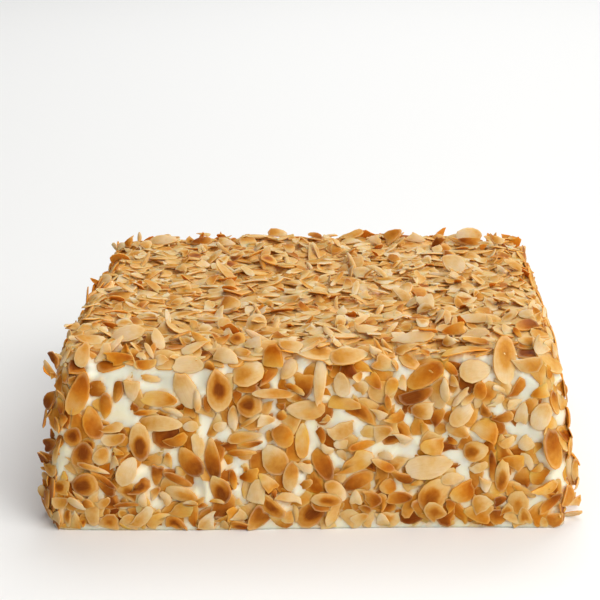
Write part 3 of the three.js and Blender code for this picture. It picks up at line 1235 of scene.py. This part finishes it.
    broken("tan", (291, 355), (10.5, 5.5), -5),
    sliver("pale", (66, 357), (10, 3), 85),
    broken("pale", (142, 357), (5, 4.5), 90),
    whole("tan", (348, 357), (17, 9.5), 12),
    whole("tan", (83, 358), (11.5, 6.5), 70),
    broken("amber", (424, 358), (5, 3), -20),
    broken("amber", (119, 360), (13, 6), 5),
    broken("pale", (226, 360), (11.5, 7), -15),
    broken("pale", (161, 361), (6, 5), 20),
    broken("amber", (146, 365), (9, 4.5), 3),
    whole("pale", (188, 365), (14, 8)),
    broken("amber", (210, 365), (4.5, 5.5), 90),
)


frontPlan = dict(
    topEdge=368,           # flakes seen above this row of the picture hang over the top edge
    backEdge=256,          # and those above this one stand along the back edge
    corner=-98 * mm,       # where along the sides those past the corners stick out
    overLean=22,           # degrees that flakes on the top edge lean towards the viewer
    backLean=50,           # those along the back edge
    cornerLean=50,         # and those past the corners
    leanSpread=0.12,
    tries=6,               # shapes tried for each flake, leaning less each time
    easing=0.75,
    press=(0.4, 1.0),      # mm
    tuck=0.2,
    toastSpread=0.03,
)


def seenSpot(at):
    # what carries the flake seen at a pixel: a place, the way out of the cream, and how far the flake leans
    f = frontPlan
    eye, ray = Vector(shot["place"]), pixelRay(*at)
    onCream = creamTree.ray_cast(eye, ray)
    missed = onCream[0] is None or onCream[2] >= len(creamQuads)
    hits = [coat[tree].ray_cast(eye, ray) for tree in ("tree", "newTree") if coat[tree]]
    near = [hit for hit in hits if hit[0] is not None and (missed or hit[3] < onCream[3])]
    atBack = at[1] < f["backEdge"]
    lean = 0
    if near and at[1] < f["topEdge"] and (atBack or not missed):
        place = min(near, key=lambda hit: hit[3])[0]
        out = creamTree.find_nearest(place)[1]
        lean = f["backLean"] if atBack else f["overLean"]
    elif missed:
        beside = eye + ray * ((-f["corner"] if atBack else f["corner"]) - eye.y) / ray.y
        place, out = creamTree.find_nearest(beside)[:2]
        lean = f["backLean"] if atBack else f["cornerLean"]
    else:
        place, out = onCream[:2]
    outward = Vector((place.x, place.y, place.z - creamBlock["height"] / 2))
    return place, (out if out.dot(outward) > 0 else -out), math.radians(lean)


def layFront(overEdge):
    f = frontPlan
    cuts = dict(whole=("whole_flakes", 0, wholeCut["count"]),
                round=("whole_flakes", wholeCut["count"], len(wholeShapes)),
                broken=("broken_flakes", 0, len(brokenShapes)),
                sliver=("almond_slivers", 0, len(sliverShapes)))
    done = 0
    for flake in sorted(frontFlakes, key=lambda one: one["at"][1]) if overEdge else frontFlakes:
        if (flake["at"][1] < f["topEdge"]) != overEdge:
            continue
        place, out, lean = seenSpot(flake["at"])
        kind, first, last = cuts[flake["cut"]]
        toast, heart, moist = browned[flake["look"]]
        lean += rng.normal(0, f["leanSpread"]) if lean else 0
        for attempt in range(f["tries"]):
            pick = int(rng.integers(first, last))
            scale = np.append(np.array(flake["size"]) * mm / shapesOf[kind][pick]["size"], 1.0)
            leanNow = (lean * f["easing"] ** attempt, backwards) if lean else None
            if layFlake(kind, place, out, spin=math.radians(flake["turn"]), scale=scale, lean=leanNow,
                        press=rng.uniform(*f["press"]) * mm, tuck=rng.normal(0, f["tuck"], 2), pick=pick,
                        asSeen=True, toast=toast + rng.normal(0, f["toastSpread"]), heart=heart, moist=moist):
                done += 1
                break
        growNewTree()
    growTree()
    return done


def seedAgain(number):
    # each stage has its own chances, so that a change to one leaves the others as they were
    global rng
    rng = np.random.default_rng(number)


def layCoat():
    total = 0
    seedAgain(1)
    for turn in range(2):
        total += layRound("broken_flakes", onFront, 10 * mm, press=(0.8 * mm, 1.4 * mm), underFront=True)
    total += layRound("almond_chips", stillBare(onFront), 5 * mm, scales=(0.4, 0.7), underFront=True)
    for turn in range(2):
        total += layRound("broken_flakes", frontBelow(14 * mm), 8 * mm, scales=(0.6, 1.0))
    print("front, underneath:", total)
    seedAgain(2)
    print("front flakes:", layFront(False))
    seedAgain(3)
    for turn in range(3):
        total += layRound("whole_flakes", onTop, 18 * mm)
        total += layRound("broken_flakes", onTop, 12 * mm)
    for turn in range(2):
        total += layRound("broken_flakes", stillBare(onTop), 8 * mm)
    for turn in range(2):
        total += layRound("broken_flakes", onTop, 10 * mm, scales=(0.55, 0.9), leaning=0.5)
    total += layRound("almond_slivers", onTop, 14 * mm, leaning=0.4)
    total += layRound("almond_chips", onTop, 7.5 * mm, leaning=0.4, scales=(0.35, 0.7))
    for turn in range(2):
        total += layRound("almond_chips", stillBare(onTop), 4.5 * mm, scales=(0.45, 0.75), tries=9000)
    seedAgain(4)
    print("front flakes over the top edge:", layFront(True))
    seedAgain(5)
    for turn in range(4):
        total += layRound("whole_flakes", onSides, 18 * mm)
        total += layRound("broken_flakes", onSides, 14 * mm)
    total += layFoot()
    total += layRound("almond_slivers", onSides, 22 * mm, leaning=0.3)
    total += layRound("broken_flakes", stillBare(onSides), 11 * mm)
    total += layRound("almond_chips", onSides, 16 * mm, leaning=0.3, scales=(0.35, 0.65))
    total += layRound("almond_chips", stillBare(frontBelow(9 * mm)), 6 * mm, scales=(0.5, 0.85), tries=9000)
    return total


print("flakes laid:", layCoat())


# the cream closes round the flakes: it stands just under the outer ones and nearly flush in the gaps

embed = dict(
    gapBelow=-2 * mm,                  # no flake where less than this is felt
    flakeDepth=(0.75 * mm, 1.0 * mm),  # below the face of the outer flake, on the sides and on top
    most=(3.0 * mm, 5.5 * mm),         # highest the cream is pushed, sides and top
    gapDepth=(0.4 * mm, 1.3 * mm),     # how far the gaps stand below the flakes around them, sides and top
    gapSink=0.8,                       # share of flakeDepth that is left at the edge of a gap
    bare=0.6 * mm,                     # rise of the open stretches
    pull=0.04,                         # how quickly the gaps fall back to that rise
    pullSteps=60,
    bulge=(0.5 * mm, 11 * mm),         # rise and length of the unevenness
    bulgeShift=(7, 3, 1),
    lapLength=7 * mm,                  # of the tongues that lap over the rims of flakes
    lapShift=(2, 9, 4),
    lapShare=0.5,
    lapReach=3,                        # in steps of the grid
    lapSoftness=0.35,
    lapOver=0.5 * mm,
    stainAndShade=(0.9, 0.85),                 # nut stain and painted warm shade, close round the flakes, and on top
    stainAndShadeFall=1.3,
    topFade=(0.75, 0.2),               # where the way out counts as up, and over how much it fades in
    wall=0.8 * mm,                     # most it rises from one point of the grid to the next
    wallSteps=4,
    deepest=-1.5 * mm,
)


def embedFlakes():
    e = embed
    spots = [Vector(p) for p in creamPlace.tolist()]
    height = np.array([coatHeight(spot, Vector(out)) for spot, out in zip(spots, creamOut.tolist())])
    gap = height < e["gapBelow"]
    up = np.clip(creamOut[:, 2], 0, 1)
    edges = np.concatenate([creamQuads[:, [i, (i + 1) % 4]] for i in range(4)])
    degree = np.bincount(edges.ravel(), minlength=len(height))

    def sideOrTop(pair):
        return pair[0] + (pair[1] - pair[0]) * up

    def neighbours(values):
        total = np.bincount(edges[:, 0], values[edges[:, 1]], len(values))
        return (total + np.bincount(edges[:, 1], values[edges[:, 0]], len(values))) / degree

    flakeDepth = sideOrTop(e["flakeDepth"])
    bulgeRise, bulgeLength = e["bulge"]
    bulge = np.array([bulgeRise * noise.noise(p / bulgeLength + Vector(e["bulgeShift"])) for p in spots])
    lap = np.array([noise.noise(p / e["lapLength"] + Vector(e["lapShift"])) for p in spots]) * (1 - up)
    face = np.where(gap, e["bare"], np.minimum(height, sideOrTop(e["most"]) + flakeDepth))
    level = face.copy()
    for step in range(e["pullSteps"]):
        spreadLevel = neighbours(level)
        level = np.where(gap, spreadLevel + e["pull"] * (e["bare"] - spreadLevel), face)
    openness = neighbours(neighbours(gap.astype(float)))
    topFrom, topOver = e["topFade"]
    flatTop = np.clip((up - topFrom) / topOver, 0, 1)
    # painted warm shade with some nut stain: strongest next to the flakes, falling off into the open cream,
    # and over all the top
    closeStainAndShade, topStainAndShade = e["stainAndShade"]
    stainAndShade = np.clip(np.maximum(closeStainAndShade * (1 - e["stainAndShadeFall"] * openness), topStainAndShade * flatTop), 0, 1)
    for step in range(2, e["lapReach"]):
        openness = neighbours(openness)
    cover = np.clip((openness - 0.5 + e["lapShare"] * lap) / e["lapSoftness"] + 0.5, 0, 1)
    low = level - np.where(gap, e["gapSink"], 1.0) * flakeDepth
    lapped = face + sideOrTop((e["lapOver"], -e["flakeDepth"][1]))
    high = np.where(gap, level - sideOrTop(e["gapDepth"]) + bulge, lapped)
    rise = low + cover * (high - low)
    for step in range(e["wallSteps"]):
        highest = rise + e["wall"]
        np.minimum.at(rise, edges[:, 0], highest[edges[:, 1]])
        np.minimum.at(rise, edges[:, 1], highest[edges[:, 0]])
    foothold = np.clip(creamPlace[:, 2] / creamBlock["footing"], 0, 1)
    return creamPlace + creamOut * (np.maximum(rise, e["deepest"]) * foothold)[:, None], stainAndShade


creamPlace, creamStainAndShade = embedFlakes()
creamTree = BVHTree.FromPolygons(creamPlace.tolist(), creamQuads.tolist())

# painted shade under the outer flakes: how much browner and more amber a covered flake is made
coveredShade = dict(toast=0.18, moist=0.65, mostToast=0.95, mostMoist=1.0, lift=0.3)       # lift in mm
sight = dict(turns=(0.4, 1.97, 3.54, 5.11), lift=0.15)


def faceOf(flake):
    # every other corner of the rim and the face, and the heart
    corners = (len(flake["points"]) - 2) // 3
    return flake["points"][:2 * corners + 1:2]


def shadeCovered(flake):
    # painted shade: flakes that lie under others are made browner and more amber with the butter tint, for
    # the warm shade beneath the outer flakes
    if flake["asSeen"]:
        return
    out = flake["out"]
    face = [Vector(point) + out * coveredShade["lift"] * mm for point in faceOf(flake)]
    under = sum(coat["tree"].ray_cast(point, out)[0] is not None for point in face) / len(face)
    flake["toast"] = min(flake["toast"] + under * coveredShade["toast"], coveredShade["mostToast"])
    flake["moist"] = min(flake["moist"] + under * coveredShade["moist"], coveredShade["mostMoist"])


def inSight(flake):
    # whether any of the flake's face can be seen, straight on or at a slant
    out = flake["out"]
    side = out.orthogonal()
    ways = [out] + [out + Matrix.Rotation(turn, 3, out) @ side for turn in sight["turns"]]
    for point in faceOf(flake):
        for way in ways:
            start = Vector(point) + way.normalized() * sight["lift"] * mm
            if coat["tree"].ray_cast(start, way)[0] is None and creamTree.ray_cast(start, way)[0] is None:
                return True
    return False


for kind in laid:
    before = len(laid[kind])
    laid[kind] = [flake for flake in laid[kind] if inSight(flake)]
    for flake in laid[kind]:
        shadeCovered(flake)
    print(kind, "buried and left out:", before - len(laid[kind]))


# the pieces: each flake is set on its point by Geometry Nodes, then made plain mesh

def layingTree():
    tree = bpy.data.node_groups.new("lay_almonds", "GeometryNodeTree")
    face = tree.interface
    face.new_socket("Points", in_out="INPUT", socket_type="NodeSocketGeometry")
    face.new_socket("Shapes", in_out="INPUT", socket_type="NodeSocketCollection")
    face.new_socket("Finish", in_out="INPUT", socket_type="NodeSocketMaterial")
    face.new_socket("Flakes", in_out="OUTPUT", socket_type="NodeSocketGeometry")
    start, end = tree.nodes.new("NodeGroupInput"), tree.nodes.new("NodeGroupOutput")
    shapes = addNode(tree, "GeometryNodeCollectionInfo", {"Separate Children": True, "Reset Children": True})
    number = addNode(tree, "GeometryNodeInputNamedAttribute", {"Name": "shape"}, data_type="INT")
    turn = addNode(tree, "GeometryNodeInputNamedAttribute", {"Name": "turn"}, data_type="QUATERNION")
    scale = addNode(tree, "GeometryNodeInputNamedAttribute", {"Name": "scale"}, data_type="FLOAT_VECTOR")
    place = addNode(tree, "GeometryNodeInstanceOnPoints", {"Pick Instance": True})
    realize = addNode(tree, "GeometryNodeRealizeInstances")
    paint = addNode(tree, "GeometryNodeSetMaterial")
    links = (
        (start.outputs["Points"], place.inputs["Points"]),
        (start.outputs["Shapes"], shapes.inputs["Collection"]),
        (shapes.outputs["Instances"], place.inputs["Instance"]),
        (number.outputs["Attribute"], place.inputs["Instance Index"]),
        (turn.outputs["Attribute"], place.inputs["Rotation"]),
        (scale.outputs["Attribute"], place.inputs["Scale"]),
        (place.outputs["Instances"], realize.inputs["Geometry"]),
        (realize.outputs["Geometry"], paint.inputs["Geometry"]),
        (start.outputs["Finish"], paint.inputs["Material"]),
        (paint.outputs["Geometry"], end.inputs["Flakes"]),
    )
    for a, b in links:
        tree.links.new(a, b)
    return tree


def shapeCollection(label, shapes):
    group = bpy.data.collections.new(label)
    scene.collection.children.link(group)
    for shape in shapes:
        group.objects.link(bpy.data.objects.new(shape["name"], shape["mesh"]))
    return group


def dropCollection(group):
    for shape in list(group.objects):
        bpy.data.objects.remove(shape)
    bpy.data.collections.remove(group)


def plainPiece(name, holder):
    # the evaluated holder as an ordinary mesh object of its own
    graph = bpy.context.evaluated_depsgraph_get()
    done = holder.evaluated_get(graph)
    mesh = bpy.data.meshes.new_from_object(done, preserve_all_data_layers=True, depsgraph=graph)
    mesh.name = name
    bpy.data.objects.remove(holder)
    piece = bpy.data.objects.new(name, mesh)
    scene.collection.objects.link(piece)
    return piece


def setAttribute(mesh, name, kind, values):
    field = "vector" if kind == "FLOAT_VECTOR" else "value"
    mesh.attributes.new(name, kind, "POINT").data.foreach_set(field, np.asarray(values).ravel())


def makeFlakes(name, flakes, tree):
    points = bpy.data.meshes.new(name + "_points")
    points.from_pydata([f["place"] for f in flakes], [], [])
    fields = dict(shape="INT", turn="QUATERNION", scale="FLOAT_VECTOR")
    fields.update(dict.fromkeys(("toast", "toastLean", "heart", "moist"), "FLOAT"))
    for field, kind in fields.items():
        setAttribute(points, field, kind, [f[field] for f in flakes])
    holder = bpy.data.objects.new(name + "_points", points)
    scene.collection.objects.link(holder)
    group = shapeCollection(name + "_shapes", shapesOf[name])
    nodes = holder.modifiers.new("lay", "NODES")
    nodes.node_group = tree
    values = {"Shapes": group, "Finish": almond}
    for item in tree.interface.items_tree:
        if item.in_out == "INPUT" and item.name in values:
            nodes[item.identifier] = values[item.name]
    piece = plainPiece(name, holder)
    dropCollection(group)
    bpy.data.meshes.remove(points)
    return piece


def makeCreamPiece():
    mesh = bpy.data.meshes.new("buttercream")
    rim = [i for i, p in enumerate(creamPlace) if p[2] < 1e-6]       # where it stands on the table
    rim.sort(key=lambda i: math.atan2(creamPlace[i][1], creamPlace[i][0]))
    middle = len(creamPlace)
    under = [(rim[(i + 1) % len(rim)], rim[i], middle) for i in range(len(rim))]
    mesh.from_pydata(creamPlace.tolist() + [(0, 0, 0)], [], creamQuads.tolist() + under)
    setAttribute(mesh, "stainAndShade", "FLOAT", np.append(creamStainAndShade, 0.0))
    mesh.shade_smooth()
    mesh.materials.append(buttercream)
    piece = bpy.data.objects.new("buttercream", mesh)
    scene.collection.objects.link(piece)
    return piece


tree = layingTree()
pieces = {"buttercream": makeCreamPiece()}
for name, flakes in laid.items():
    pieces[name] = makeFlakes(name, flakes, tree)
    pieces[name].data.calc_loop_triangles()
    print(name, len(flakes), "pieces,", len(pieces[name].data.loop_triangles), "triangles")
for name, piece in pieces.items():
    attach(piece, "root")
    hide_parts(cakeNode)


# table and light

table = dict(colour=(0.84, 0.84, 0.83, 1), roughness=0.7, reach=6.0)
daylight = dict(colour=(0.99, 0.99, 1.0, 1), strength=0.23)
lights = dict(
    key=dict(place=(1.05, -0.85, 1.1), aim=(0, 0, 0.04), size=1.2, power=18, colour=(1.0, 0.99, 0.97)),
    fill=dict(place=(1.0, -1.8, 0.85), aim=(0, 0, 0.04), size=1.4, power=17.6, colour=(1.0, 0.99, 0.97)),
    ceiling=dict(place=(0.5, -0.35, 1.9), aim=(0.3, -0.2, 0), size=2.6, power=14.2, colour=(1.0, 0.99, 0.97)),
    back=dict(place=(0.3, 1.9, 2.0), aim=(0.1, 1.6, 0), size=2.0, power=42, colour=(1.0, 1.0, 1.0)),
)


def makeTable():
    mesh = bpy.data.meshes.new("table")
    reach = table["reach"]
    corners = [(-reach, -reach, 0), (reach, -reach, 0), (reach, reach, 0), (-reach, reach, 0)]
    mesh.from_pydata(corners, [], [(0, 1, 2, 3)])
    material, _, shader = newMaterial("table")
    shader.inputs["Base Color"].default_value = table["colour"]
    shader.inputs["Roughness"].default_value = table["roughness"]
    mesh.materials.append(material)
    top = bpy.data.objects.new("table", mesh)
    scene.collection.objects.link(top)


def makeLight(name, plan):
    lamp = bpy.data.lights.new(name, "AREA")
    lamp.shape = "SQUARE"
    lamp.size, lamp.energy, lamp.color = plan["size"], plan["power"], plan["colour"]
    light = bpy.data.objects.new(name, lamp)
    light.location = plan["place"]
    light.rotation_euler = (Vector(plan["aim"]) - light.location).to_track_quat("-Z", "Y").to_euler()
    scene.collection.objects.link(light)


def makeWorld():
    world = bpy.data.worlds.new("studio")
    world.use_nodes = True
    background = world.node_tree.nodes["Background"].inputs
    background["Color"].default_value = daylight["colour"]
    background["Strength"].default_value = daylight["strength"]
    scene.world = world


makeTable()
for name, plan in lights.items():
    makeLight(name, plan)
makeWorld()
scene.view_settings.view_transform = "Standard"
print("table and light set")
